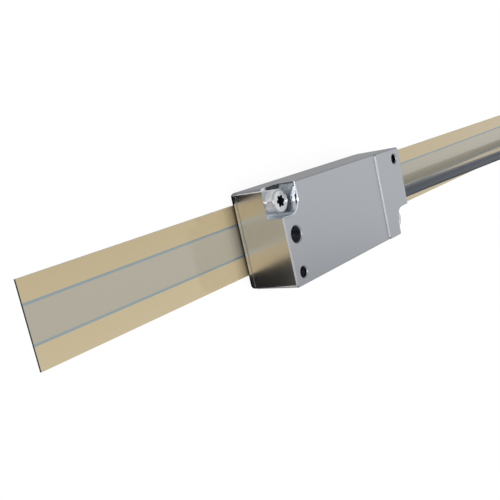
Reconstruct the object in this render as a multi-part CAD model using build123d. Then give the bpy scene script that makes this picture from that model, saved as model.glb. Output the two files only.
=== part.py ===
from build123d import *
import math
import os

# Exposed linear encoder. A scale tape lies on its back, a scanning head runs above it,
# and a lead with a 15-pin connector comes out of the head. All sizes are in millimetres.
# +X runs along the tape, +Y across it and +Z out of its face.
# The origin is the middle of the tape, on its back.

# Scale tape
tape_length = 240.0
tape_width = 14.0
adhesive_thickness = 0.15
steel_thickness = 0.25
etch_depth = 0.05
border_width = 0.42
border_spacing = 6.15
border_offset = 0.12

# Scanning head, outside
head_start = -73.6
head_length = 46.0
head_width = 19.0
head_depth = 11.75
air_gap = 0.75
corner_radius = 0.6
edge_bevel = 0.25
pad_length = 10.7
pad_rise = 0.3

# Base plate and gasket
plate_thickness = 1.5
plate_inset = 0.05
plate_edge_radius = 1.0
boss_radius = 2.0
boss_height = 2.0
gasket_thickness = 0.2
gasket_inset = 0.2

# Corner pockets and their screws
screw_from_end = 2.7
screw_from_side = 3.0
pocket_radius = 2.8
pocket_depth = 3.7
rim_bevel = 0.2
screw_head_radius = 2.25
screw_head_height = 1.85
screw_shank_radius = 1.25
screw_length = 7.8
recess_radius = 1.15
recess_lobes = 6
recess_lobe_radius = 0.3
recess_depth = 1.0

# Holes in the front face
thread_hole_radius = 1.03
thread_hole_depth = 6.0
thread_hole_from_end = 2.75
thread_hole_from_axis = 7.15
locating_hole_radius = 1.55
locating_hole_depth = 5.0
locating_hole_from_end = 2.9
hole_bevel = 0.2

# Housing, inside
end_wall = 6.5
side_wall = 1.4
front_wall = 1.5
cavity_corner_radius = 1.0

# Scanning window and optics
window_from_middle = -1.0
window_length = 12.0
window_width = 8.4
reticle_length = 14.0
reticle_width = 10.2
reticle_thickness = 0.8
holder_length = 17.0
holder_width = 13.0
holder_height = 5.6
lens_offset = 4.4
lens_radius = 2.95
lens_seat_depth = 2.5
lens_rim = 0.8
lens_crown = 0.7
light_bore_radius = 2.4
lamp_base = 3.0
lamp_base_height = 0.8
lamp_dome_radius = 1.1
detector_offset = 4.6
detector_length = 4.6
detector_width = 5.4
detector_height = 1.0
chamber_margin = 0.4

# Circuit board
board_gap_at_start = 1.0
board_gap_at_end = 3.0
board_width = 14.6
board_thickness = 0.8
board_screw_radius = 0.8
board_screw_length = 3.0
board_screw_head_radius = 1.4
board_screw_head_height = 0.9
board_screw_from_axis = 4.9
processor_size = 7.0
processor_height = 1.0
processor_from_board_end = 2.5
capacitor_size = (1.6, 0.8, 0.8)
capacitor_pitch = 2.0
capacitor_row_pitch = 3.0
capacitor_rows = 2
capacitors_per_row = 3
capacitors_from_board_start = 3.0
header_length = 2.8
header_width = 6.4
header_height = 2.6
header_from_board_end = 0.4

# Lead
cable_radius = 1.35
cable_exit_y = -2.45
cable_exit_z = 6.7
ferrule_wall = 0.45
ferrule_length = 2.2
cable_inside = 2.6
wire_radius = 0.25
wire_pitch_at_cable = 0.75
wire_pitch_at_header = 1.6
wire_rise_at_cable = 0.4
wire_rise_at_header = 0.6
relief_length = 7.0
relief_base_radius = 2.4
relief_tip_radius = 1.8
relief_spigot_radius = 2.1
relief_spigot_length = 2.0
relief_groove_pitch = 1.5
relief_groove_count = 3
relief_groove_width = 0.7
relief_groove_depth = 0.35

# Corners of the lead between the head and the coil, and between the coil and the connector
lead_corners = [
    (-19.6, -2.45, 6.7),
    (64.4, -3.99, 9.63),
    (102.0, -4.4, 8.4),
    (130.5, -2.6, 5.7),
    (143.1, -8.9, 3.4),
    (151.2, -20.2, 2.1),
]
lead_joins_coil_at = 10
tail_leaves_coil_at = 222
tail_corner = (115.2, -39.9, 7.5)
tail_straight = 6.0
corner_share = 0.45

# Coil of the lead that is put away
coil_x = 136.0
coil_y = -36.0
coil_turn_radius = 15.0
coil_layers = 3
tie_thickness = 0.5
tie_width = 5.0

# Connector. It lies flat, and its mating face looks along -X.
connector_x = 65.0
connector_y = -36.0
hood_width = 39.2
hood_front_length = 13.0
hood_length = 28.0
hood_thickness = 15.5
hood_waist = 24.0
hood_tail_width = 14.0
hood_tail_length = 7.0
hood_wall = 1.6
hood_back_wall = 3.0
hood_edge_radius = 0.8
grip_pitch = 2.4
grip_count = 3
grip_width = 1.2
grip_depth = 0.5
grip_reach = 7.0
flange_height = 12.5
flange_thickness = 0.8
shell_width = 25.0
shell_height = 8.36
shell_depth = 6.0
shell_wall = 0.4
shell_corner_radius = 2.6
shell_side_angle = 10.0
dimple_radius = 0.5
dimple_pitch = 4.0
dimple_count = 5
dimple_from_tip = 2.2
insulator_proud = 0.9
insulator_back = 4.0
pin_radius = 0.51
pin_reach = 5.4
pin_tail = 2.0
pin_pitch = 2.77
pin_row_spacing = 2.84
long_row_pin_count = 8
wired_pin_numbers = (9, 11, 13, 1, 3, 6)
jack_spacing = 33.3
jack_radius = 1.42
jack_reach = 5.2
knob_radius = 2.8
knob_length = 10.0
knob_flutes = 14
knob_flute_radius = 0.35
knob_bevel = 0.3
slot_width = 0.8
cross_width = 0.4
slot_depth = 1.0
boot_length = 8.0
boot_base_radius = 3.0
boot_tip_radius = 1.9
boot_spigot_radius = 2.15
boot_spigot_length = 2.0
clamp_length = 3.0
clamp_width = 10.0
clamp_height = 2.0
clamp_from_front = 17.0
cable_past_clamp = 2.0
hood_screw_radius = 1.0
hood_screw_head_radius = 1.9
hood_screw_head_height = 1.4
hood_screw_length = 9.0
hood_screw_from_front = 9.5
hood_screw_from_axis = 11.2

# Clearances
running_clearance = 0.06
seat_clearance = 0.1
thread_clearance = 0.03

# Heights and places that follow from the sizes above
tape_top = adhesive_thickness + steel_thickness
head_bottom = tape_top + air_gap
plate_top = head_bottom + plate_thickness
housing_bottom = plate_top + gasket_thickness
face_z = head_bottom + head_depth
pad_z = face_z + pad_rise
pocket_floor = face_z - pocket_depth
cavity_top = face_z - front_wall
head_end = head_start + head_length
head_middle = head_start + head_length / 2
half_width = head_width / 2
cavity_start = head_start + end_wall
cavity_end = head_end - end_wall
cavity_half = half_width - side_wall
window_x = head_middle + window_from_middle
board_start = cavity_start + board_gap_at_start
board_end = cavity_end - board_gap_at_end
holder_top = plate_top + holder_height
board_top = holder_top + board_thickness
connector_z = hood_thickness / 2
coil_bottom = tie_thickness
coil_half = coil_layers * cable_radius
coil_middle_z = coil_bottom + coil_half


def block(low, high):
    """A box with two opposite corners at low and high."""
    size = [b - a for a, b in zip(low, high)]
    middle = [(a + b) / 2 for a, b in zip(low, high)]
    return Pos(*middle) * Box(*size)


def post(radius, x, y, low, high):
    """An upright cylinder from height low to height high."""
    return Pos(x, y, (low + high) / 2) * Cylinder(radius, high - low)


def rod(radius, y, z, start, end):
    """A cylinder along X from start to end."""
    return Pos((start + end) / 2, y, z) * Rot(0, 90, 0) * Cylinder(radius, end - start)


def turned_about_head(shape):
    """The same shape turned half a turn about the middle of the head."""
    return Pos(head_middle, 0, 0) * Rot(0, 0, 180) * Pos(-head_middle, 0, 0) * shape


def save(name, shape):
    shape.label = name
    export_step(shape, f"parts/{name}.step")


def rows_of(shape, places):
    """Separate copies of one solid, as one compound."""
    return Compound(children=[Pos(*place) * shape for place in places])


# Scale tape


def border_places():
    return [border_offset - border_spacing / 2, border_offset + border_spacing / 2]


def border_lines(low):
    half = border_width / 2
    return [
        block((-tape_length / 2, y - half, low), (tape_length / 2, y + half, tape_top))
        for y in border_places()
    ]


def track_band(low):
    lower, upper = border_places()
    return block(
        (-tape_length / 2, lower + border_width / 2, low),
        (tape_length / 2, upper - border_width / 2, tape_top),
    )


def adhesive_film():
    half = tape_width / 2
    return block((-tape_length / 2, -half, 0), (tape_length / 2, half, adhesive_thickness))


def scale_tape():
    half = tape_width / 2
    steel = block((-tape_length / 2, -half, adhesive_thickness), (tape_length / 2, half, tape_top))
    etched = tape_top - etch_depth
    steel -= track_band(etched)
    for line in border_lines(etched):
        steel -= line
    return steel


def graduation_track():
    return track_band(tape_top - etch_depth)


def track_borders():
    return Compound(children=border_lines(tape_top - etch_depth))


# Housing of the scanning head


def screw_axis():
    """The screw in the pocket at the start of the head; the other is half a turn away."""
    return head_start + screw_from_end, half_width - screw_from_side


def bevelled_prism(start, top):
    """A prism with rounded upright edges and a bevel round its front face."""
    length = head_end - start
    plan = Pos(start + length / 2, 0, housing_bottom) * RectangleRounded(
        length, head_width, corner_radius
    )
    prism = extrude(plan, top - housing_bottom)
    front = prism.faces().sort_by(Axis.Z)[-1]
    return chamfer(front.edges(), edge_bevel)


def pocket_plan(extra):
    """The pocket's outline, open at the end and at the side, larger by extra."""
    x, y = screw_axis()
    reach = pocket_radius + extra
    outer_x = head_start - reach
    outer_y = half_width + reach
    outline = Polyline(
        (outer_x, outer_y),
        (outer_x, y - reach),
        (x, y - reach),
    )
    corner = CenterArc((x, y), reach, 270, 90)
    back = Polyline((x + reach, y), (x + reach, outer_y), (outer_x, outer_y))
    return make_face(outline + corner + back)


def pocket_cut(top):
    """The space of one pocket under a face at height top, with its bevelled rim."""
    well = extrude(Pos(0, 0, pocket_floor) * pocket_plan(0), top - pocket_floor)
    flare = loft([
        Pos(0, 0, top - rim_bevel) * pocket_plan(0),
        Pos(0, 0, top) * pocket_plan(rim_bevel),
    ])
    return well + flare


def bevelled_hole(radius, x, y, top, depth):
    """A blind hole with a drill point and a bevelled mouth."""
    hole = post(radius, x, y, top - depth, top)
    point_height = radius / 2
    point = Pos(x, y, top - depth - point_height / 2) * Cone(0, radius, point_height)
    mouth = Pos(x, y, top - hole_bevel / 2) * Cone(radius, radius + hole_bevel, hole_bevel)
    return hole + point + mouth


def front_holes():
    near_x = head_start + thread_hole_from_end
    far_x = head_end - thread_hole_from_end
    locating_x = head_start + locating_hole_from_end
    from_axis = thread_hole_from_axis
    return [
        bevelled_hole(thread_hole_radius, near_x, -from_axis, face_z, thread_hole_depth),
        bevelled_hole(thread_hole_radius, far_x, from_axis, pad_z, thread_hole_depth),
        bevelled_hole(locating_hole_radius, locating_x, 0, face_z, locating_hole_depth),
    ]


def cavity():
    """The space for the optics and the board, open towards the base plate."""
    length = cavity_end - cavity_start
    plan = Pos(head_middle, 0, housing_bottom) * RectangleRounded(
        length, 2 * cavity_half, cavity_corner_radius
    )
    return extrude(plan, cavity_top - housing_bottom)


def screw_passage():
    """The shank's hole through a corner, and the seat of the base plate's boss."""
    x, y = screw_axis()
    shank = post(screw_shank_radius + seat_clearance, x, y, housing_bottom, pocket_floor)
    boss_seat = post(
        boss_radius + seat_clearance, x, y, housing_bottom, plate_top + boss_height + seat_clearance
    )
    return shank + boss_seat


def cable_passage():
    bore = rod(
        cable_radius + running_clearance, cable_exit_y, cable_exit_z, cavity_end, head_end
    )
    spigot = rod(
        relief_spigot_radius + running_clearance,
        cable_exit_y,
        cable_exit_z,
        head_end - relief_spigot_length - running_clearance,
        head_end,
    )
    return bore + spigot


def housing():
    body = bevelled_prism(head_start, face_z) + bevelled_prism(head_end - pad_length, pad_z)
    body -= pocket_cut(face_z)
    body -= turned_about_head(pocket_cut(pad_z))
    for hole in front_holes():
        body -= hole
    body -= cavity()
    body -= screw_passage()
    body -= turned_about_head(screw_passage())
    body -= cable_passage()
    return body


def housing_screws():
    """Two cylinder-head screws with a hexalobular recess, in the pockets."""
    x, y = screw_axis()
    top = pocket_floor + screw_head_height
    head = post(screw_head_radius, x, y, pocket_floor, top)
    head = chamfer(head.edges().sort_by(Axis.Z)[-1], rim_bevel)
    shank = post(screw_shank_radius, x, y, pocket_floor - screw_length, pocket_floor)
    recess = post(recess_radius, x, y, top - recess_depth, top)
    for lobe in range(recess_lobes):
        angle = 2 * math.pi * (lobe + 0.5) / recess_lobes
        lobe_x = x + recess_radius * math.cos(angle)
        lobe_y = y + recess_radius * math.sin(angle)
        recess -= post(recess_lobe_radius, lobe_x, lobe_y, top - recess_depth, top)
    screw = head + shank - recess
    return Compound(children=[screw, turned_about_head(screw)])


def plate_plan(inset, low, height):
    length = head_length - 2 * inset
    plan = Pos(head_middle, 0, low) * RectangleRounded(
        length, head_width - 2 * inset, corner_radius
    )
    return extrude(plan, height)


def reticle_pocket():
    half_length = reticle_length / 2 + seat_clearance
    half = reticle_width / 2 + seat_clearance
    seat = block(
        (window_x - half_length, -half, plate_top - reticle_thickness),
        (window_x + half_length, half, plate_top),
    )
    window = block(
        (window_x - window_length / 2, -window_width / 2, head_bottom),
        (window_x + window_length / 2, window_width / 2, plate_top),
    )
    return seat + window


def base_plate():
    """The plate on the tape side, with the window and two tapped bosses."""
    plate = plate_plan(plate_inset, head_bottom, plate_thickness)
    long_edges = plate.edges().filter_by(Axis.X).group_by(Axis.Z)[0]
    plate = fillet(long_edges, plate_edge_radius)
    x, y = screw_axis()
    boss = post(boss_radius, x, y, plate_top, plate_top + boss_height)
    thread = post(
        screw_shank_radius + thread_clearance, x, y, head_bottom, plate_top + boss_height
    )
    plate += boss
    plate += turned_about_head(boss)
    plate -= thread
    plate -= turned_about_head(thread)
    return plate - reticle_pocket()


def gasket():
    """The sealing frame between base plate and housing, cut out round the bosses."""
    frame = plate_plan(gasket_inset, plate_top, gasket_thickness)
    margin = seat_clearance
    frame -= block(
        (cavity_start - margin, -cavity_half - margin, plate_top),
        (cavity_end + margin, cavity_half + margin, housing_bottom),
    )
    x, y = screw_axis()
    hole = post(boss_radius + seat_clearance, x, y, plate_top, housing_bottom)
    return frame - hole - turned_about_head(hole)


# Optics


def scanning_reticle():
    half = reticle_width / 2
    return block(
        (window_x - reticle_length / 2, -half, plate_top - reticle_thickness),
        (window_x + reticle_length / 2, half, plate_top),
    )


def lens_x():
    return window_x - lens_offset


def detector_x():
    return window_x + detector_offset


def board_screw_places():
    x = window_x + (detector_offset - lens_offset) / 2
    return [(x, -board_screw_from_axis), (x, board_screw_from_axis)]


def optics_holder():
    """The block on the base plate that holds lens, lamp and detector in line."""
    half_length = holder_length / 2
    half = holder_width / 2
    holder = block(
        (window_x - half_length, -half, plate_top),
        (window_x + half_length, half, holder_top),
    )
    lens_seat = plate_top + lens_seat_depth
    holder -= post(lens_radius + running_clearance, lens_x(), 0, plate_top, lens_seat)
    holder -= post(light_bore_radius, lens_x(), 0, plate_top, holder_top)
    chamber_half_length = detector_length / 2 + chamber_margin
    chamber_half = detector_width / 2 + chamber_margin
    holder -= block(
        (detector_x() - chamber_half_length, -chamber_half, plate_top),
        (detector_x() + chamber_half_length, chamber_half, holder_top),
    )
    for x, y in board_screw_places():
        low = board_top - board_screw_length - seat_clearance
        holder -= post(board_screw_radius + thread_clearance, x, y, low, holder_top)
    return holder


def condenser_lens():
    """A plano-convex lens, its flat side against the shoulder above it."""
    flat = plate_top + lens_seat_depth
    sphere_radius = (lens_radius**2 + lens_crown**2) / (2 * lens_crown)
    rim = post(lens_radius, lens_x(), 0, flat - lens_rim, flat)
    ball = Pos(lens_x(), 0, flat - lens_rim - lens_crown + sphere_radius) * Sphere(sphere_radius)
    crown = ball & post(lens_radius, lens_x(), 0, flat - lens_rim - lens_crown, flat - lens_rim)
    return rim + crown


def light_source():
    """A lamp chip under the board, with a small moulded dome."""
    half = lamp_base / 2
    x = lens_x()
    low = holder_top - lamp_base_height
    base = block((x - half, -half, low), (x + half, half, holder_top))
    dome = Pos(x, 0, low) * Sphere(lamp_dome_radius)
    dome -= block((x - half, -half, low), (x + half, half, low + lamp_dome_radius))
    return base + dome


def photodetector():
    half_length = detector_length / 2
    half = detector_width / 2
    return block(
        (detector_x() - half_length, -half, holder_top - detector_height),
        (detector_x() + half_length, half, holder_top),
    )


# Circuit board


def circuit_board():
    half = board_width / 2
    board = block(
        (board_start, -half, holder_top),
        (board_end, half, board_top),
    )
    for x, y in board_screw_places():
        board -= post(board_screw_radius + seat_clearance, x, y, holder_top, board_top)
    return board


def board_screws():
    screw = post(board_screw_radius, 0, 0, board_top - board_screw_length, board_top)
    screw += post(board_screw_head_radius, 0, 0, board_top, board_top + board_screw_head_height)
    return rows_of(screw, [(x, y, 0) for x, y in board_screw_places()])


def signal_processor():
    half = processor_size / 2
    x = board_end - processor_from_board_end - half
    return block((x - half, -half, board_top), (x + half, half, board_top + processor_height))


def board_capacitors():
    length, width, height = capacitor_size
    chip = block((-length / 2, -width / 2, board_top), (length / 2, width / 2, board_top + height))
    first_x = board_start + capacitors_from_board_start
    places = []
    for row in range(capacitor_rows):
        for place in range(capacitors_per_row):
            y = (place - (capacitors_per_row - 1) / 2) * capacitor_pitch
            places.append((first_x + row * capacitor_row_pitch, y, 0))
    return rows_of(chip, places)


def header_start():
    return board_end - header_from_board_end - header_length


def board_connector():
    half = header_width / 2
    return block(
        (header_start(), cable_exit_y - half, holder_top - header_height),
        (header_start() + header_length, cable_exit_y + half, holder_top),
    )


# Lead


def wire_places(pitch, rise):
    """Two rows of three wires, across Y and Z."""
    return [(place * pitch, side * rise) for side in (-1, 1) for place in (-1, 0, 1)]


def wire_fan(start, end, near, far):
    """Straight wires from the places near at x = start to the places far at x = end."""
    wires = []
    for (near_y, near_z), (far_y, far_z) in zip(near, far):
        run = Vector(end - start, far_y - near_y, far_z - near_z)
        facing = math.copysign(1, end - start)
        section = Plane(origin=(start, near_y, near_z), z_dir=(facing, 0, 0)) * Circle(wire_radius)
        wires.append(extrude(section, run.length, dir=run.normalized()))
    return Compound(children=wires)


def conductors():
    """Six wires that fan out from the end of the lead to the board connector."""
    fan = wire_fan(
        cavity_end - cable_inside,
        header_start() + header_length,
        wire_places(wire_pitch_at_cable, wire_rise_at_cable),
        wire_places(wire_pitch_at_header, wire_rise_at_header),
    )
    return Pos(0, cable_exit_y, cable_exit_z) * fan


def cable_ferrule():
    """The crimped sleeve that stops the lead from being pulled out."""
    outer = rod(
        cable_radius + running_clearance + ferrule_wall,
        cable_exit_y,
        cable_exit_z,
        cavity_end - ferrule_length,
        cavity_end,
    )
    return outer - rod(
        cable_radius + running_clearance,
        cable_exit_y,
        cable_exit_z,
        cavity_end - ferrule_length,
        cavity_end,
    )


def tapered_sleeve(length, base_radius, tip_radius, spigot_radius, spigot_length):
    """A rubber sleeve along +X with its shoulder at x = 0, bored for the lead."""
    cone = Pos(length / 2, 0, 0) * Rot(0, 90, 0) * Cone(base_radius, tip_radius, length)
    spigot = rod(spigot_radius, 0, 0, -spigot_length, 0)
    bore = rod(cable_radius + running_clearance, 0, 0, -spigot_length, length)
    return cone + spigot - bore


def strain_relief():
    sleeve = tapered_sleeve(
        relief_length, relief_base_radius, relief_tip_radius,
        relief_spigot_radius, relief_spigot_length,
    )
    for turn in range(relief_groove_count):
        middle = relief_length - (turn + 1) * relief_groove_pitch
        share = middle / relief_length
        radius = relief_base_radius + share * (relief_tip_radius - relief_base_radius)
        start = middle - relief_groove_width / 2
        end = middle + relief_groove_width / 2
        groove = rod(relief_base_radius, 0, 0, start, end)
        sleeve -= groove - rod(radius - relief_groove_depth, 0, 0, start, end)
    return Pos(head_end, cable_exit_y, cable_exit_z) * sleeve


def corner_radii(points):
    """For each corner, a share of its shorter run over the tangent of half its turn."""
    vectors = [Vector(*point) for point in points]
    radii = []
    for before, corner, after in zip(vectors, vectors[1:], vectors[2:]):
        incoming = corner - before
        outgoing = after - corner
        half_turn = math.radians(incoming.get_angle(outgoing)) / 2
        shorter = min(incoming.length, outgoing.length)
        radii.append(corner_share * shorter / math.tan(half_turn))
    return radii


def tube(name, points):
    """The lead along straight runs joined by tangent arcs."""
    radii = corner_radii(points)
    path = FilletPolyline(*points, radius=radii)
    section = Plane(origin=path @ 0, z_dir=path % 0) * Circle(cable_radius)
    swept = sweep(section, path=path)
    expected = math.pi * cable_radius**2 * path.length
    print(name, "radii", [round(radius, 1) for radius in radii])
    print(name, "length", round(path.length, 1), "volume ratio", round(swept.volume / expected, 4))
    return swept


def coil_rim(angle, height):
    """A point on the outermost turn of the coil."""
    radius = coil_turn_radius + (coil_layers - 1) * cable_radius
    x = coil_x + radius * math.cos(math.radians(angle))
    y = coil_y + radius * math.sin(math.radians(angle))
    return x, y, height


def cable_lead():
    """From the ferrule, straight past the head, then down and into the coil."""
    start = (cavity_end - cable_inside, cable_exit_y, cable_exit_z)
    end = coil_rim(lead_joins_coil_at, coil_bottom + cable_radius)
    return tube("cable_lead", [start, *lead_corners, end])


def cable_tail():
    """From the top of the coil into the clamp inside the hood."""
    coil_top = coil_bottom + 2 * coil_half
    boot_end = connector_x + hood_length + boot_length
    return tube("cable_tail", [
        coil_rim(tail_leaves_coil_at, coil_top - cable_radius),
        tail_corner,
        (boot_end + tail_straight, connector_y, connector_z),
        (connector_x + clamp_from_front - cable_past_clamp, connector_y, connector_z),
    ])


def coil_section(extra):
    side = 2 * (coil_half + extra)
    return RectangleRounded(side, side, cable_radius + extra)


def ring(section, arc):
    placed = Plane.XZ * Pos(coil_turn_radius, 0, 0) * section
    return revolve(placed, axis=Axis.Z, revolution_arc=arc)


def cable_coil():
    """The outer shape of the wound turns."""
    return Pos(coil_x, coil_y, coil_middle_z) * ring(coil_section(0), 360)


def coil_ties():
    """Two straps round the bundle, on opposite sides of the coil."""
    gap = running_clearance
    strap_section = coil_section(tie_thickness) - coil_section(gap)
    strap_angle = math.degrees(tie_width / coil_turn_radius)
    strap = ring(strap_section, strap_angle)
    places = [Rot(0, 0, angle) * strap for angle in (90, 270)]
    return Compound(children=[Pos(coil_x, coil_y, coil_middle_z) * place for place in places])


# Connector, drawn with its mating face towards +X and turned when it is placed


def placed(shape):
    return Pos(connector_x, connector_y, connector_z) * Rot(0, 0, 180) * shape


def shell_outline(extra):
    """The D shape of the shell, across Y and Z, larger all round by extra."""
    half = shell_width / 2 + extra
    rise = shell_height / 2 + extra
    lean = 2 * rise * math.tan(math.radians(shell_side_angle))
    outline = Polyline(
        (-half, rise), (half, rise), (half - lean, -rise), (-half + lean, -rise), close=True
    )
    face = make_face(outline)
    return fillet(face.vertices(), shell_corner_radius + extra)


def across(x, sketch):
    """A sketch stood upright at x, its first axis along Y and its second along Z."""
    return Plane(origin=(x, 0, 0), x_dir=(0, 1, 0), z_dir=(1, 0, 0)) * sketch


def connector_shell():
    flange_plan = RectangleRounded(hood_width, flange_height, hood_edge_radius)
    flange = extrude(across(0, flange_plan), flange_thickness)
    sleeve = extrude(across(flange_thickness, shell_outline(shell_wall)), shell_depth)
    shell = flange + sleeve
    for y in (-jack_spacing / 2, jack_spacing / 2):
        shell -= rod(jack_radius + seat_clearance, y, 0, 0, flange_thickness)
    for y, z in dimple_places():
        shell += Pos(flange_thickness + shell_depth - dimple_from_tip, y, z) * Sphere(dimple_radius)
    shell -= extrude(across(0, shell_outline(0)), flange_thickness + shell_depth)
    return placed(shell)


def dimple_places():
    """The contact bumps along the long sides of the shell."""
    rise = shell_height / 2 + shell_wall - dimple_radius / 2
    places = []
    for z in (-rise, rise):
        for place in range(dimple_count):
            places.append(((place - (dimple_count - 1) / 2) * dimple_pitch, z))
    return places


def pin_places():
    places = []
    height = pin_row_spacing / 2
    for count, z in ((long_row_pin_count, height), (long_row_pin_count - 1, -height)):
        for place in range(count):
            places.append(((place - (count - 1) / 2) * pin_pitch, z))
    return places


def connector_insulator():
    front = flange_thickness + insulator_proud
    body = extrude(across(-insulator_back, shell_outline(-seat_clearance)), insulator_back + front)
    for y, z in pin_places():
        body -= rod(pin_radius + thread_clearance, y, z, -insulator_back, front)
    return placed(body)


def connector_pins():
    tip = flange_thickness + pin_reach
    pin = rod(pin_radius, 0, 0, -insulator_back - pin_tail, tip)
    pin = chamfer(pin.edges().sort_by(Axis.X)[-1], pin_radius / 2)
    pins = [placed(Pos(0, y, z) * pin) for y, z in pin_places()]
    return Compound(children=pins)


def connector_wires():
    """Six wires from the end of the lead to six of the pins."""
    places = pin_places()
    fan = wire_fan(
        -clamp_from_front + cable_past_clamp,
        -insulator_back - pin_tail,
        wire_places(wire_pitch_at_cable, wire_rise_at_cable),
        [places[i] for i in wired_pin_numbers],
    )
    return placed(fan)


def hood_plan(inset):
    """The hood from above: a wide front, shoulders, and a tail that narrows."""
    front = hood_width / 2 - inset
    waist = hood_waist / 2 - inset
    tail = hood_tail_width / 2 - inset
    shoulder = -hood_front_length + inset
    narrowing = -hood_length + hood_tail_length
    outline = Polyline(
        (0, front), (shoulder, front), (shoulder, waist), (narrowing, waist),
        (-hood_length + inset, tail), (-hood_length + inset, -tail), (narrowing, -waist),
        (shoulder, -waist), (shoulder, -front), (0, -front), close=True,
    )
    return make_face(outline)


def hood_space():
    """What is hollow inside the hood: the well for the wires and the front opening."""
    height = hood_thickness - 2 * hood_wall
    reach = hood_waist / 2 - hood_wall
    well = block(
        (-hood_length + hood_back_wall, -reach, -height / 2),
        (-hood_wall, reach, height / 2),
    )
    inner_outline = extrude(Pos(0, 0, -height / 2) * hood_plan(hood_wall), height)
    half = shell_width / 2 + shell_wall
    rise = shell_height / 2 + shell_wall
    opening = block((-hood_front_length / 2, -half, -rise), (0, half, rise))
    return (well & inner_outline) + opening


def grip_grooves():
    """Shallow grooves across both wide faces, for the fingers."""
    grooves = []
    for place in range(grip_count):
        start = -hood_front_length - grip_pitch * (place + 0.5)
        for face in (-1, 1):
            bottom, top = sorted((face * (hood_thickness / 2 - grip_depth), face * hood_thickness))
            grooves.append(block(
                (start - grip_width, -grip_reach, bottom), (start, grip_reach, top)
            ))
    return grooves


def hood_half(side):
    """One half of the hood; side is 1 for the upper and -1 for the lower."""
    top = hood_thickness / 2
    low, high = sorted((0, side * top))
    shape = extrude(Pos(0, 0, low) * hood_plan(0), high - low)
    outer = shape.faces().sort_by(Axis.Z)[-1 if side > 0 else 0]
    shape = fillet(outer.edges(), hood_edge_radius)
    shape -= hood_space()
    shape -= grip_grooves()
    for y in (-jack_spacing / 2, jack_spacing / 2):
        shape -= rod(jack_radius + running_clearance, y, 0, -hood_front_length, 0)
    shape -= rod(boot_spigot_radius + running_clearance, 0, 0, -hood_length, 0)
    for x, y in hood_screw_places():
        low = top - hood_screw_length - seat_clearance
        shape -= post(hood_screw_radius + thread_clearance, x, y, low, top)
        sink = Cone(
            hood_screw_radius + thread_clearance,
            hood_screw_head_radius + thread_clearance,
            hood_screw_head_height,
        )
        shape -= Pos(x, y, top - hood_screw_head_height / 2) * sink
    return shape


def hood_screw_places():
    """The screws that hold the halves together stand in the solid front corners."""
    x = -hood_screw_from_front
    return [(x, -hood_screw_from_axis), (x, hood_screw_from_axis)]


def hood_screws():
    """Countersunk cross-recess screws, driven from the upper half."""
    top = hood_thickness / 2
    shank = post(hood_screw_radius, 0, 0, top - hood_screw_length, top)
    head = Pos(0, 0, top - hood_screw_head_height / 2) * Cone(
        hood_screw_radius, hood_screw_head_radius, hood_screw_head_height
    )
    screw = shank + head
    for angle in (0, 90):
        slot = block(
            (-hood_screw_radius, -cross_width / 2, top - slot_depth),
            (hood_screw_radius, cross_width / 2, top),
        )
        screw -= Rot(0, 0, angle) * slot
    screws = [placed(Pos(x, y, 0) * screw) for x, y in hood_screw_places()]
    return Compound(children=screws)


def hood_lower():
    return placed(hood_half(-1))


def hood_upper():
    return placed(hood_half(1))


def jackscrew(side):
    """A captive screw with a fluted knob behind the hood's shoulder."""
    back = -hood_front_length - running_clearance
    knob = rod(knob_radius, 0, 0, back - knob_length, back)
    knob = chamfer(knob.edges().filter_by(GeomType.CIRCLE), knob_bevel)
    for flute in range(knob_flutes):
        angle = 2 * math.pi * flute / knob_flutes
        y = knob_radius * math.cos(angle)
        z = knob_radius * math.sin(angle)
        knob -= rod(knob_flute_radius, y, z, back - knob_length, back)
    knob -= block(
        (back - knob_length, -knob_radius, -slot_width / 2),
        (back - knob_length + slot_depth, knob_radius, slot_width / 2),
    )
    screw = knob + rod(jack_radius, 0, 0, back, flange_thickness + jack_reach)
    return placed(Pos(0, side * jack_spacing / 2, 0) * screw)


def connector_boot():
    """The tapered sleeve at the back of the hood."""
    sleeve = tapered_sleeve(
        boot_length, boot_base_radius, boot_tip_radius,
        boot_spigot_radius, boot_spigot_length,
    )
    return Pos(connector_x + hood_length, connector_y, connector_z) * sleeve


def cable_clamp():
    """A bar across the inside of the lower half that grips the lead."""
    low = -hood_thickness / 2 + hood_wall
    bar = block(
        (-clamp_from_front - clamp_length, -clamp_width / 2, low),
        (-clamp_from_front, clamp_width / 2, clamp_height),
    )
    bar -= rod(
        cable_radius + running_clearance, 0, 0,
        -clamp_from_front - clamp_length, -clamp_from_front,
    )
    return placed(bar)


def main():
    os.makedirs("parts", exist_ok=True)
    pieces = [
        adhesive_film, scale_tape, graduation_track, track_borders,
        housing, housing_screws, base_plate, gasket,
        scanning_reticle, optics_holder, condenser_lens, light_source, photodetector,
        circuit_board, board_screws, signal_processor, board_capacitors, board_connector,
        conductors, cable_ferrule, strain_relief, cable_lead, cable_coil, coil_ties, cable_tail,
        connector_shell, connector_insulator, connector_pins, connector_wires,
        hood_lower, hood_upper, hood_screws, connector_boot, cable_clamp,
    ]
    for piece in pieces:
        save(piece.__name__, piece())
    save("jackscrew_left", jackscrew(1))
    save("jackscrew_right", jackscrew(-1))


main()
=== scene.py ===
import math

import bpy
from mathutils import Matrix, Vector

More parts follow.
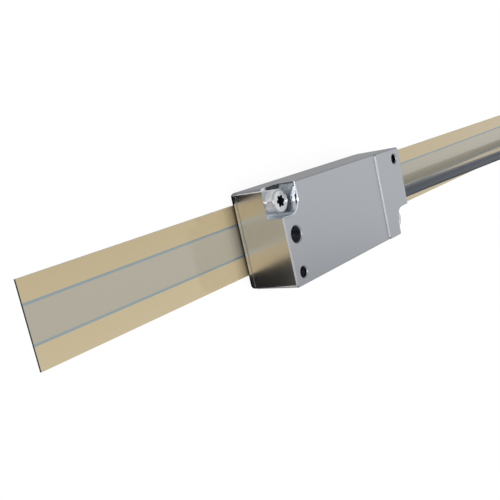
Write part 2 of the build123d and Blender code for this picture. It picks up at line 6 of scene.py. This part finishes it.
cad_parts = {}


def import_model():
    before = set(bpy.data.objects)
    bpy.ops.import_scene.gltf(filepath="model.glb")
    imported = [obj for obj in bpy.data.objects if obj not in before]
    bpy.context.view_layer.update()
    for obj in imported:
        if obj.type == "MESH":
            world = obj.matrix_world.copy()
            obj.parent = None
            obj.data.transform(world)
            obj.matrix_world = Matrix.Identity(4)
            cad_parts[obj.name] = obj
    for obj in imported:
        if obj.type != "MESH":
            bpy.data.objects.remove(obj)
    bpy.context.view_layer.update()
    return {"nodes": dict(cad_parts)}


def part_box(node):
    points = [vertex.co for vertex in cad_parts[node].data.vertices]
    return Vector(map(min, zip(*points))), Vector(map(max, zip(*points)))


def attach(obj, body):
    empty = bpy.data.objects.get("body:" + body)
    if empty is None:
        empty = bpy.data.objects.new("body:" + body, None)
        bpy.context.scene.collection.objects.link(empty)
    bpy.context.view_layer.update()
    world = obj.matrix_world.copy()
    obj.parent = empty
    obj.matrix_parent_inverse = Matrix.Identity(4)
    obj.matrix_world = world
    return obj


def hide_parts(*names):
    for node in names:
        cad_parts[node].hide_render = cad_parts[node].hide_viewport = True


# Linear encoder: a gold plated scale tape, a scanning head above it and its lead.
# Everything is in metres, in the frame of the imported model.
mm = 0.001

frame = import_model()
nodes = frame["nodes"]

# Camera, found from the corners, holes and edges in the photograph
camera_place = Vector((-170.02, 19.43, 88.91)) * mm
camera_right = Vector((0.6201023, -0.2174128, 0.7531528))
camera_up = Vector((0.2633006, 0.9628522, 0.0602563))
camera_forward = Vector((0.7390020, -0.1612088, -0.6543700))
camera_lens = 49.68

# Lead, with the corners of the solid's route
cable_radius = 1.35 * mm
lead_corners = [
    (-36.7, -2.45, 6.7),
    (-19.6, -2.45, 6.7),
    (26.8, -3.30, 8.32),
    (64.4, -3.99, 9.63),
    (102.0, -4.4, 8.4),
    (130.5, -2.6, 5.7),
    (143.1, -8.9, 3.4),
    (151.2, -20.2, 2.1),
]
tail_corners = [
    (115.2, -39.9, 7.5),
    (107.0, -36.0, 7.75),
    (80.0, -36.0, 7.75),
]
coil_middle = Vector((136.0, -36.0, 4.55)) * mm
coil_turn_radii = (17.7, 15.0, 12.3)
coil_row_spacing = 2.7
coil_starts_at = 10
coil_ends_at = 222
coil_full_turns = 7
points_per_turn = 16

# Places on the scanning head in millimetres, from its ends, sides and long axis
pad_rise = 0.3
screw_from_end = 2.7
screw_from_side = 3.0
screw_recess_radius = 1.17
screw_rim_radius = 1.9
screw_rim_height = 0.32
screw_ring_pitch = 0.12
screw_ring_depth = 0.004
pocket_length = 5.7
pocket_width = 5.9
pocket_floor = 9.1
tapped_from_end = 2.75
tapped_from_axis = 7.15
tapped_mask_radius = 1.08
plain_from_end = 2.9
plain_mask_radius = 1.6
hole_mask_depth = 7
hole_bevel = 0.22

white = (1.0, 1.0, 1.0, 1.0)


# Shader building


def new_material(name):
    material = bpy.data.materials.new(name)
    material.use_nodes = True
    return material


def shader_of(material):
    return material.node_tree.nodes["Principled BSDF"]


def add(material, kind, **inputs):
    node = material.node_tree.nodes.new(kind)
    for name, value in inputs.items():
        node.inputs[name].default_value = value
    return node


def link(material, source, target):
    material.node_tree.links.new(source, target)


def calculate(material, operation, first, second=None):
    """A Math node on two sockets or numbers; gives its output socket."""
    node = material.node_tree.nodes.new("ShaderNodeMath")
    node.operation = operation
    for place, value in enumerate((first, second)):
        if value is None:
            continue
        if isinstance(value, (int, float)):
            node.inputs[place].default_value = value
        else:
            link(material, value, node.inputs[place])
    return node.outputs[0]


def object_place(material):
    """The point's own coordinates, as a vector socket and as three numbers."""
    place = material.node_tree.nodes.new("ShaderNodeTexCoord").outputs["Object"]
    parts = material.node_tree.nodes.new("ShaderNodeSeparateXYZ")
    link(material, place, parts.inputs[0])
    return place, parts.outputs


def noise(material, scale):
    texture = add(material, "ShaderNodeTexNoise", Scale=scale, Detail=3.0, Roughness=0.55)
    place, _ = object_place(material)
    link(material, place, texture.inputs["Vector"])
    return texture.outputs["Fac"]


def streaks(material, scale):
    """Noise drawn out along X, as rolling and brushing leave it."""
    texture = add(material, "ShaderNodeTexNoise", Scale=scale, Detail=4.0, Roughness=0.6)
    place, _ = object_place(material)
    stretch = material.node_tree.nodes.new("ShaderNodeVectorMath")
    stretch.operation = "MULTIPLY"
    stretch.inputs[1].default_value = (0.02, 1.0, 1.0)
    link(material, place, stretch.inputs[0])
    link(material, stretch.outputs[0], texture.inputs["Vector"])
    return texture.outputs["Fac"]


def rescaled(material, value, low, high):
    """A value from 0 to 1 spread over low to high."""
    spread = add(material, "ShaderNodeMapRange")
    spread.inputs["To Min"].default_value = low
    spread.inputs["To Max"].default_value = high
    link(material, value, spread.inputs["Value"])
    return spread.outputs["Result"]


def mixed(material, factor, first, second):
    """A blend of two colours, each a socket or four numbers."""
    blend = material.node_tree.nodes.new("ShaderNodeMix")
    blend.data_type = "RGBA"
    link(material, factor, blend.inputs["Factor"])
    for name, value in (("A", first), ("B", second)):
        socket = [s for s in blend.inputs if s.name == name and s.type == "RGBA"][0]
        if isinstance(value, tuple):
            socket.default_value = value
        else:
            link(material, value, socket)
    return [s for s in blend.outputs if s.type == "RGBA"][0]


def bump(material, height, depth):
    """Fine relief that follows a value, with its depth in metres."""
    node = material.node_tree.nodes.new("ShaderNodeBump")
    node.inputs["Distance"].default_value = depth
    link(material, height, node.inputs["Height"])
    link(material, node.outputs["Normal"], shader_of(material).inputs["Normal"])


def inside(material, parts, low, high):
    """1 between two opposite corners in millimetres, and 0 outside."""
    result = None
    for axis in range(3):
        above = calculate(material, "GREATER_THAN", parts[axis], low[axis] * mm)
        below = calculate(material, "LESS_THAN", parts[axis], high[axis] * mm)
        both = calculate(material, "MULTIPLY", above, below)
        result = both if result is None else calculate(material, "MULTIPLY", result, both)
    return result


def either(material, first, second):
    return calculate(material, "MAXIMUM", first, second)


def mottled(name, color, metallic, roughness, grain=900.0, spread=0.06, relief=0.0):
    """A surface with slight changes of colour and gloss, and fine relief."""
    material = new_material(name)
    shader = shader_of(material)
    speckle = noise(material, grain)
    dark = tuple(c * (1 - spread) for c in color) + (1.0,)
    light = tuple(min(c * (1 + spread), 1.0) for c in color) + (1.0,)
    link(material, mixed(material, speckle, dark, light), shader.inputs["Base Color"])
    gloss = rescaled(material, noise(material, grain * 0.4), roughness * 0.85, roughness * 1.15)
    link(material, gloss, shader.inputs["Roughness"])
    shader.inputs["Metallic"].default_value = metallic
    if relief:
        bump(material, noise(material, grain * 2.5), relief)
    return material


def normal_along(material, axis):
    """How far a face looks along an axis, from -1 to 1."""
    geometry = material.node_tree.nodes.new("ShaderNodeNewGeometry")
    parts = material.node_tree.nodes.new("ShaderNodeSeparateXYZ")
    link(material, geometry.outputs["True Normal"], parts.inputs[0])
    return parts.outputs[axis]


def facing(material, axis, least=0.97):
    """1 on faces that look along an axis, either way, and 0 elsewhere."""
    size = calculate(material, "ABSOLUTE", normal_along(material, axis))
    return calculate(material, "GREATER_THAN", size, least)


def looking_down(material, least):
    """1 on faces that lean towards the bed by more than so much, and 0 elsewhere."""
    return calculate(material, "LESS_THAN", normal_along(material, 2), -least)


# Metals of the tape


cut_end_dark = (0.012, 0.012, 0.012, 1.0)
# Painted light: how fast the plated colour lightens across the tape
painted_light_across = -70.0


def tape_face(name, near, far, metallic, roughness):
    """Plated steel with painted light, a shade lighter towards the near edge, and a dark cut
    end.
    """
    material = new_material(name)
    shader = shader_of(material)
    _, parts = object_place(material)
    # Painted light: the colour lightens across the tape towards its near edge
    across = calculate(material, "MULTIPLY", parts[1], painted_light_across)
    across = calculate(material, "ADD", across, 0.5)
    rolled = rescaled(material, streaks(material, 5000.0), -0.25, 0.25)
    plating_with_painted_light = mixed(material, calculate(material, "ADD", across, rolled), far, near)
    cut = either(material, facing(material, 0), facing(material, 1))
    color = mixed(material, cut, plating_with_painted_light, cut_end_dark)
    link(material, color, shader.inputs["Base Color"])
    smear = rescaled(material, streaks(material, 9000.0), roughness * 0.6, roughness * 1.4)
    link(material, smear, shader.inputs["Roughness"])
    shine = rescaled(material, cut, metallic, 1.0)
    link(material, shine, shader.inputs["Metallic"])
    shader.inputs["Specular IOR Level"].default_value = 0.35
    return material


def gold_tape():
    near = (0.615, 0.512, 0.325, 1.0)
    far = (0.555, 0.455, 0.275, 1.0)
    return tape_face("gold tape", near, far, metallic=0.09, roughness=0.1)


def graduation():
    near = (0.455, 0.425, 0.34, 1.0)
    far = (0.468, 0.435, 0.35, 1.0)
    return tape_face("graduation", near, far, metallic=0.09, roughness=0.1)


def border_line():
    near = (0.30, 0.37, 0.39, 1.0)
    far = (0.28, 0.35, 0.37, 1.0)
    return tape_face("border line", near, far, metallic=0.3, roughness=0.3)


# Metals of the scanning head


satin = (0.42, 0.44, 0.47, 1.0)
# Painted shade: a darker copy of the satin for the side faces
painted_shade_on_sides = (0.10, 0.11, 0.126, 1.0)
# Painted shade: darker copies of the satin for the bevels at the ends and along the sides
painted_shade_on_end_bevels = (0.22, 0.228, 0.24, 1.0)
painted_shade_on_side_bevels = (0.24, 0.25, 0.265, 1.0)
bright = (0.78, 0.755, 0.715, 1.0)
polished = (0.60, 0.63, 0.66, 1.0)
screw_top = (0.68, 0.70, 0.72, 1.0)
screw_wall = (0.62, 0.63, 0.65, 1.0)
# Painted shade: darker colours for the screws' rounded rims and their recesses
painted_shade_screw_rim = (0.40, 0.41, 0.43, 1.0)
painted_shade_screw_recess = (0.02, 0.021, 0.024, 1.0)
# Painted shade: darker colours inside the plain and the tapped holes
painted_shade_plain_hole = (0.33, 0.35, 0.38, 1.0)
painted_shade_tapped_hole = (0.07, 0.074, 0.082, 1.0)
# Painted shade on the faces that look down towards the bed
painted_shade_underside = (0.02, 0.02, 0.022, 1.0)


def head_corners():
    """Lowest and highest corner of the housing, in millimetres."""
    return [tuple(value / mm for value in corner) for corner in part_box("housing")]


def pocket_mask(material, parts):
    """The two diagonal corner pockets, up to just below the front face and the pad."""
    (x0, y0, _), (x1, y1, z1) = head_corners()
    face = z1 - pad_rise - 0.02
    pad = z1 - 0.02
    start = inside(
        material, parts,
        (x0 - 1, y1 - pocket_width, pocket_floor),
        (x0 + pocket_length, y1 + 1, face),
    )
    end = inside(
        material, parts,
        (x1 - pocket_length, y0 - 1, pocket_floor),
        (x1 + 1, y0 + pocket_width, pad),
    )
    return either(material, start, end)


def tapped_holes():
    """Place, radius and mouth height of the two tapped holes."""
    (x0, _, _), (x1, _, z1) = head_corners()
    return [
        (x0 + tapped_from_end, -tapped_from_axis, tapped_mask_radius, z1 - pad_rise),
        (x1 - tapped_from_end, tapped_from_axis, tapped_mask_radius, z1),
    ]


def plain_hole():
    """The same for the plain hole, on the long axis."""
    (x0, _, _), (_, _, z1) = head_corners()
    return [(x0 + plain_from_end, 0, plain_mask_radius, z1 - pad_rise)]


def hole_mask(material, parts, holes):
    """The insides of some holes, below their bevelled mouths."""
    result = None
    for x, y, radius, top in holes:
        low = (x - radius, y - radius, top - hole_mask_depth)
        high = (x + radius, y + radius, top - hole_bevel)
        hole = inside(material, parts, low, high)
        result = hole if result is None else either(material, result, hole)
    return result


def head_metal(name):
    """Satin on the front, bright on the ends and polished in the pockets, with painted shade on
    the sides, on the edge bevels, inside the holes and on faces that look down.
    """
    material = new_material(name)
    shader = shader_of(material)
    _, parts = object_place(material)
    end_face = facing(material, 0)
    pocket = pocket_mask(material, parts)
    # Painted shade: darker bevels along the sides and at the ends
    color = mixed(material, facing(material, 1, 0.2), satin, painted_shade_on_side_bevels)
    color = mixed(material, facing(material, 0, 0.2), color, painted_shade_on_end_bevels)
    # Painted shade: the side faces darker than the front
    color = mixed(material, facing(material, 1), color, painted_shade_on_sides)
    color = mixed(material, end_face, color, bright)
    color = mixed(material, pocket, color, polished)
    # Painted shade inside the plain and the tapped holes
    color = mixed(material, hole_mask(material, parts, plain_hole()), color, painted_shade_plain_hole)
    color = mixed(material, hole_mask(material, parts, tapped_holes()), color, painted_shade_tapped_hole)
    # Painted shade on the faces that look down towards the bed
    color = mixed(material, looking_down(material, 0.2), color, painted_shade_underside)
    link(material, color, shader.inputs["Base Color"])
    gloss = rescaled(material, end_face, 0.4, 0.21)
    polish = rescaled(material, pocket, 1.0, 0.3)
    grain = rescaled(material, noise(material, 2500.0), 0.93, 1.07)
    gloss = calculate(material, "MULTIPLY", gloss, grain)
    link(material, calculate(material, "MULTIPLY", gloss, polish), shader.inputs["Roughness"])
    shader.inputs["Metallic"].default_value = 1.0
    return material


def distance_from_screw_axis(material, parts):
    """The distance from the nearer of the two housing screws' axes."""
    (x0, y0, _), (x1, y1, _) = head_corners()
    axes = [
        (x0 + screw_from_end, y1 - screw_from_side),
        (x1 - screw_from_end, y0 + screw_from_side),
    ]
    distances = []
    for x, y in axes:
        from_x = calculate(material, "SUBTRACT", parts[0], x * mm)
        from_y = calculate(material, "SUBTRACT", parts[1], y * mm)
        squares = calculate(
            material, "ADD",
            calculate(material, "MULTIPLY", from_x, from_x),
            calculate(material, "MULTIPLY", from_y, from_y),
        )
        distances.append(calculate(material, "SQRT", squares))
    return calculate(material, "MINIMUM", *distances)


def socket_screw():
    """Turned steel, with painted shade on its rounded rim and in its hexalobular recess."""
    material = new_material("socket screw")
    shader = shader_of(material)
    _, parts = object_place(material)
    radius = distance_from_screw_axis(material, parts)
    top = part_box("housing_screws")[1][2] / mm
    narrow = calculate(material, "LESS_THAN", radius, screw_recess_radius * mm)
    deep = calculate(material, "LESS_THAN", parts[2], (top - 0.03) * mm)
    recess = calculate(material, "MULTIPLY", narrow, deep)
    wide = calculate(material, "GREATER_THAN", radius, screw_rim_radius * mm)
    high = calculate(material, "GREATER_THAN", parts[2], (top - screw_rim_height) * mm)
    rim = calculate(material, "MULTIPLY", wide, high)
    top_face = facing(material, 2)
    color = mixed(material, top_face, screw_wall, screw_top)
    # Painted shade on the rounded rim and in the recess
    color = mixed(material, rim, color, painted_shade_screw_rim)
    color = mixed(material, recess, color, painted_shade_screw_recess)
    link(material, color, shader.inputs["Base Color"])
    shader.inputs["Roughness"].default_value = 0.16
    link(material, rescaled(material, top_face, 0.45, 1.0), shader.inputs["Metallic"])
    waves = calculate(material, "MULTIPLY", radius, 2 * math.pi / (screw_ring_pitch * mm))
    bump(material, calculate(material, "SINE", waves), screw_ring_depth * mm)
    return material


materials = {
    "adhesive": mottled("adhesive", (0.012, 0.012, 0.012), 0.0, 0.8),
    "gold_tape": gold_tape(),
    "graduation": graduation(),
    "border_line": border_line(),
    "head_metal": head_metal("head metal"),
    "plate_metal": head_metal("plate metal"),
    "seal": mottled("seal", (0.68, 0.66, 0.625), 1.0, 0.25),
    "screw_steel": mottled("screw steel", (0.50, 0.50, 0.51), 1.0, 0.25),
    "reticle_glass": mottled("reticle glass", (0.20, 0.24, 0.25), 0.0, 0.05),
    "lens_glass": mottled("lens glass", (0.6, 0.7, 0.72), 0.0, 0.05),
    "black_plastic": mottled("black plastic", (0.015, 0.015, 0.017), 0.0, 0.5, relief=0.00002),
    "lamp_body": mottled("lamp body", (0.7, 0.6, 0.3), 0.0, 0.2),
    "chip": mottled("chip", (0.02, 0.02, 0.025), 0.0, 0.4),
    "board": mottled("board", (0.02, 0.12, 0.05), 0.0, 0.3),
    "ceramic": mottled("ceramic", (0.4, 0.28, 0.15), 0.0, 0.5),
    "white_plastic": mottled("white plastic", (0.7, 0.68, 0.6), 0.0, 0.5),
    "wire": mottled("wire", (0.35, 0.05, 0.04), 0.0, 0.4),
    "ferrule": mottled("ferrule", (0.5, 0.5, 0.5), 1.0, 0.3),
    "relief_rubber": mottled("relief rubber", (0.02, 0.02, 0.022), 0.0, 0.55, relief=0.00001),
    "cable_jacket": mottled("cable jacket", (0.039, 0.049, 0.068), 0.0, 0.3, grain=700.0),
    "tie_strap": mottled("tie strap", (0.01, 0.01, 0.01), 0.0, 0.4),
    "shell_metal": mottled("shell metal", (0.50, 0.50, 0.49), 1.0, 0.28),
    "gold_pin": mottled("gold pin", (0.80, 0.58, 0.22), 1.0, 0.15),
    "hood_plastic": mottled("hood plastic", (0.025, 0.026, 0.028), 0.0, 0.55, relief=0.00003),
    "clamp_metal": mottled("clamp metal", (0.5, 0.5, 0.48), 1.0, 0.35),
    "jack_steel": mottled("jack steel", (0.46, 0.46, 0.46), 1.0, 0.3),
}


# The jacket and the adhesive shine less than plain plastic
shader_of(materials["cable_jacket"]).inputs["Specular IOR Level"].default_value = 0.25
shader_of(materials["adhesive"]).inputs["Specular IOR Level"].default_value = 0.1


def dress_nodes():
    """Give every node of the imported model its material, and the screws their own."""
    for node in nodes.values():
        for slot in node.material_slots:
            slot.material = materials[slot.material.name.split(".")[0]]
    nodes["housing_screws"].material_slots[0].material = socket_screw()


dress_nodes()


# Lead


def coil_turns():
    """Points of the wound turns, from the lead's end to the tail's start."""
    outer, middle, inner = coil_turn_radii
    rows = [(-1, (outer, middle, inner)), (0, (inner, middle, outer)), (1, (middle, outer))]
    turns = [(radius, row * coil_row_spacing) for row, radii in rows for radius in radii]
    # The curve cuts the corners, so they lie a little further out than the turns
    shrink = 0.75 + 0.25 * math.cos(2 * math.pi / points_per_turn)
    total = coil_full_turns + (360 - (coil_ends_at - coil_starts_at)) / 360
    points = []
    for count in range(round(total * points_per_turn) + 1):
        turn = min(count / points_per_turn, total)
        radius, rise = between_turns(turns, turn)
        angle = math.radians(coil_starts_at) - 2 * math.pi * turn
        reach = radius / shrink
        points.append((
            coil_middle.x / mm + reach * math.cos(angle),
            coil_middle.y / mm + reach * math.sin(angle),
            coil_middle.z / mm + rise,
        ))
    return points


def between_turns(turns, turn):
    """Radius and height after so many turns: each turn keeps its own, then steps to the next."""
    step_share = 0.2
    number = min(int(turn), len(turns) - 1)
    radius, rise = turns[number]
    share = turn - number
    if share > 1 - step_share and number + 1 < len(turns):
        blend = (share - 1 + step_share) / step_share
        next_radius, next_rise = turns[number + 1]
        radius += (next_radius - radius) * blend
        rise += (next_rise - rise) * blend
    return radius, rise


def cable():
    """The whole lead as one smooth cord, from inside the head to the connector."""
    data = bpy.data.curves.new("cable", "CURVE")
    data.dimensions = "3D"
    data.bevel_depth = cable_radius
    data.bevel_resolution = 5
    data.resolution_u = 10
    data.use_fill_caps = True
    points = lead_corners + coil_turns() + tail_corners
    spline = data.splines.new("NURBS")
    spline.points.add(len(points) - 1)
    for point, (x, y, z) in zip(spline.points, points):
        point.co = (x * mm, y * mm, z * mm, 1.0)
    spline.order_u = 3
    spline.use_endpoint_u = True
    data.materials.append(materials["cable_jacket"])
    lead = bpy.data.objects.new("cable", data)
    bpy.context.scene.collection.objects.link(lead)
    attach(lead, "scanning_head")
    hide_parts("cable_lead", "cable_coil", "cable_tail")


# Small pieces that the solids leave plain, in millimetres


jack_thread_start = 59.3
jack_thread_height = 7.75
jack_thread_sides = (("left", -52.65), ("right", -19.35))
hole_thread_places = (("start", -70.85, -7.15), ("end", -30.35, 7.15))
hole_thread_start = 7.2
tie_reach = 15.0
tie_top = 9.05
tie_teeth = 10


def thread(name, start, along, length, radius, pitch, depth, slot, body):
    """A helical ridge round an axis that starts at a point and runs along a direction."""
    across = along.orthogonal().normalized()
    third = along.cross(across)
    steps = 20
    total = int(length / pitch * steps)
    data = bpy.data.curves.new(name, "CURVE")
    data.dimensions = "3D"
    data.bevel_depth = depth * mm
    data.bevel_resolution = 1
    data.resolution_u = 1
    spline = data.splines.new("POLY")
    spline.points.add(total)
    for count, point in enumerate(spline.points):
        angle = 2 * math.pi * count / steps
        place = start + along * (pitch * count / steps)
        place += (across * math.cos(angle) + third * math.sin(angle)) * radius
        point.co = (*(place * mm), 1.0)
    data.materials.append(materials[slot])
    ridge = bpy.data.objects.new(name, data)
    bpy.context.scene.collection.objects.link(ridge)
    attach(ridge, body)
    return ridge


def threads():
    """The threads of the jackscrews, which it gives back, and of the two tapped holes."""
    made = []
    for name, y in jack_thread_sides:
        start = Vector((jack_thread_start, y, jack_thread_height))
        along = Vector((1.0, 0.0, 0.0))
        made.append(thread(
            name + "_jack_thread", start, along,
            length=4.6, radius=1.38, pitch=0.635, depth=0.15,
            slot="jack_steel", body=name + "_jackscrew",
        ))
    for name, x, y in hole_thread_places:
        start = Vector((x, y, hole_thread_start))
        along = Vector((0.0, 0.0, 1.0))
        thread(
            name + "_hole_thread", start, along,
            length=5.2, radius=1.07, pitch=0.45, depth=0.1,
            slot="head_metal", body="scanning_head",
        )
    return made


def box_corners(low, high):
    corners = []
    for x in (low[0], high[0]):
        for y in (low[1], high[1]):
            corners += [(x, y, low[2]), (x, y, high[2])]
    return corners


def tie_block():
    """Corners and faces of a tie's locking head, open along X."""
    outer = box_corners((-2.1, -3.1, 0.0), (2.1, 3.1, 2.6))
    inner = box_corners((-2.1, -2.6, 1.0), (2.1, 2.6, 1.7))
    faces = []
    for first in (0, 8):
        around = [(0, 2, 6, 4), (1, 5, 7, 3), (0, 4, 5, 1), (2, 3, 7, 6)]
        for face in around:
            corners = [first + corner for corner in face]
            faces.append(corners if first == 0 else corners[::-1])
    for end in ((0, 1, 3, 2), (4, 6, 7, 5)):
        for place in range(4):
            a, b = end[place], end[(place + 1) % 4]
            faces.append([a, b, b + 8, a + 8])
    return outer + inner, faces


def tie_tail(first):
    """Corners and faces of the toothed tail, with the corners numbered from first."""
    vertices = []
    for place in range(tie_teeth + 1):
        x = -1.8 + 0.5 * place
        for y in (-2.5, 2.5):
            vertices += [(x, y, 1.1), (x, y, 1.6 if place % 2 else 1.35)]
    faces = []
    for place in range(tie_teeth):
        a = first + 4 * place
        faces += [[a, a + 4, a + 5, a + 1], [a + 2, a + 3, a + 7, a + 6]]
        faces += [[a + 1, a + 5, a + 7, a + 3], [a, a + 2, a + 6, a + 4]]
    last = first + 4 * tie_teeth
    faces += [[first, first + 1, first + 3, first + 2], [last, last + 2, last + 3, last + 1]]
    return vertices, faces


def flat_faced_mesh(name, corners, faces, material):
    """A mesh from corners in millimetres."""
    mesh = bpy.data.meshes.new(name)
    places = [tuple(value * mm for value in corner) for corner in corners]
    mesh.from_pydata(places, [], faces)
    mesh.materials.append(material)
    return mesh


def tie_head(name, angle):
    """The locking head of a cable tie, on top of its strap, with the toothed tail through it."""
    corners, faces = tie_block()
    tooth_corners, tooth_faces = tie_tail(len(corners))
    mesh = flat_faced_mesh(
        name, corners + tooth_corners, faces + tooth_faces, materials["tie_strap"]
    )
    head = bpy.data.objects.new(name, mesh)
    turn = math.radians(angle)
    reach = tie_reach * mm
    head.location = (
        coil_middle.x + reach * math.cos(turn),
        coil_middle.y + reach * math.sin(turn),
        tie_top * mm,
    )
    head.rotation_euler = (0.0, 0.0, turn)
    bpy.context.scene.collection.objects.link(head)
    rounding = head.modifiers.new("rounding", "BEVEL")
    rounding.width = 0.2 * mm
    rounding.segments = 2
    rounding.limit_method = "ANGLE"
    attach(head, "scanning_head")
    return head


on_the_lead = threads() + [tie_head("tie_head_near", -80.5), tie_head("tie_head_far", 99.5)]
cable()


# Studio


floor_grey = (0.7, 0.7, 0.7, 1.0)
floor_glow = 1.12
floor_glow_share = 0.8
card_shade = (0.02, 0.02, 0.02, 1.0)


def visible_to_camera_and_gloss(material):
    """1 for rays from the camera, off a mirror or through glass."""
    path = material.node_tree.nodes.new("ShaderNodeLightPath")
    seen = either(material, path.outputs["Is Camera Ray"], path.outputs["Is Glossy Ray"])
    return either(material, seen, path.outputs["Is Transmission Ray"])


def floor():
    """A pale floor that glows white for the camera and keeps the object's shadow."""
    material = new_material("white floor")
    tree = material.node_tree
    tree.nodes.remove(shader_of(material))
    diffuse = add(material, "ShaderNodeBsdfDiffuse", Color=floor_grey)
    glow = add(material, "ShaderNodeEmission", Color=white, Strength=floor_glow)
    blend = tree.nodes.new("ShaderNodeMixShader")
    seen = visible_to_camera_and_gloss(material)
    share = calculate(material, "MULTIPLY", seen, floor_glow_share)
    link(material, share, blend.inputs[0])
    link(material, diffuse.outputs[0], blend.inputs[1])
    link(material, glow.outputs[0], blend.inputs[2])
    link(material, blend.outputs[0], tree.nodes["Material Output"].inputs["Surface"])
    bpy.ops.mesh.primitive_plane_add(size=12.0, location=(0, 0, -0.00005))
    plane = bpy.context.object
    plane.name = "floor"
    plane.data.materials.append(material)


def card(name, corners):
    """A dark sheet that only mirrors see, as a studio uses to give metal its contrast."""
    material = new_material(name)
    shader = shader_of(material)
    shader.inputs["Base Color"].default_value = card_shade
    shader.inputs["Roughness"].default_value = 1.0
    shader.inputs["Specular IOR Level"].default_value = 0.0
    mesh = flat_faced_mesh(name, corners, [(0, 1, 2, 3)], material)
    sheet = bpy.data.objects.new(name, mesh)
    bpy.context.scene.collection.objects.link(sheet)
    sheet.visible_camera = False
    sheet.visible_diffuse = False
    sheet.visible_shadow = False
    sheet.visible_transmission = False


def lying_card(name, low, high):
    height = 0.03
    card(name, [
        (low[0], low[1], height),
        (high[0], low[1], height),
        (high[0], high[1], height),
        (low[0], high[1], height),
    ])


def standing_card(name, x, low, high):
    """A card across X, between two opposite corners given as Y and Z."""
    card(name, [
        (x, low[0], low[1]),
        (x, high[0], low[1]),
        (x, high[0], high[1]),
        (x, low[0], high[1]),
    ])


def card_across(name, start, toward, distance, half_width, half_height):
    """A card square to a line, so far along it from a point."""
    toward = Vector(toward).normalized()
    aside = toward.cross(Vector((0.0, 0.0, 1.0))).normalized() * half_width
    upward = aside.normalized().cross(toward) * half_height
    middle = Vector(start) + toward * distance
    card(name, [
        tuple(middle - aside - upward),
        tuple(middle + aside - upward),
        tuple(middle + aside + upward),
        tuple(middle - aside + upward),
    ])


def cards():
    """The dark sheets: on the floor, high beyond the head, on the camera's side and far away."""
    # On the floor beside the tape, seen in the polished end of the head and in the lead
    lying_card("card_near", (-98, -17), (-72, -7.1))
    lying_card("card_far", (-98, 7.1), (-72, 9.8))
    lying_card("card_lead", (-25, -30), (150, -7.1))
    # Beyond the head, to shade its satin front towards the near side
    standing_card("card_high", 80, (-170, 80), (-46, 160))
    # On the camera's side, seen in the tape's image in the polished end
    card_across("card_camera_side", (-50, 0, 12), (-0.739, -0.161, 0.654), 300, 75, 60)
    # Far away and low, like the dark foot of a wall
    standing_card("card_horizon", 500, (-400, 0), (200, 105))


def key_light():
    """A soft light from the camera's side."""
    lamp = bpy.data.lights.new("key", "SUN")
    lamp.energy = 1.2
    lamp.angle = math.radians(30)
    lamp_object = bpy.data.objects.new("key", lamp)
    bpy.context.scene.collection.objects.link(lamp_object)
    direction = Vector((-0.62, 0.0, 0.785))
    lamp_object.rotation_euler = direction.to_track_quat("Z", "Y").to_euler()


def world():
    """White to the camera, mirrors and glass, and a softer light on everything else."""
    scene = bpy.context.scene
    scene.world = bpy.data.worlds.new("studio")
    scene.world.use_nodes = True
    tree = scene.world.node_tree
    background = tree.nodes["Background"]
    background.inputs["Color"].default_value = white
    seen = visible_to_camera_and_gloss(scene.world)
    strength = rescaled(scene.world, seen, 0.6, 1.0)
    link(scene.world, strength, background.inputs["Strength"])


def camera():
    """The photograph's camera."""
    data = bpy.data.cameras.new("camera")
    data.lens = camera_lens
    data.sensor_width = 36.0
    data.clip_start = 0.001
    data.clip_end = 20.0
    view = bpy.data.objects.new("camera", data)
    turn = Matrix((camera_right, camera_up, -camera_forward)).transposed().to_4x4()
    view.matrix_world = Matrix.Translation(camera_place) @ turn
    bpy.context.scene.collection.objects.link(view)
    bpy.context.scene.camera = view


floor()
cards()
key_light()
world()
camera()
bpy.context.scene.view_settings.view_transform = "Standard"
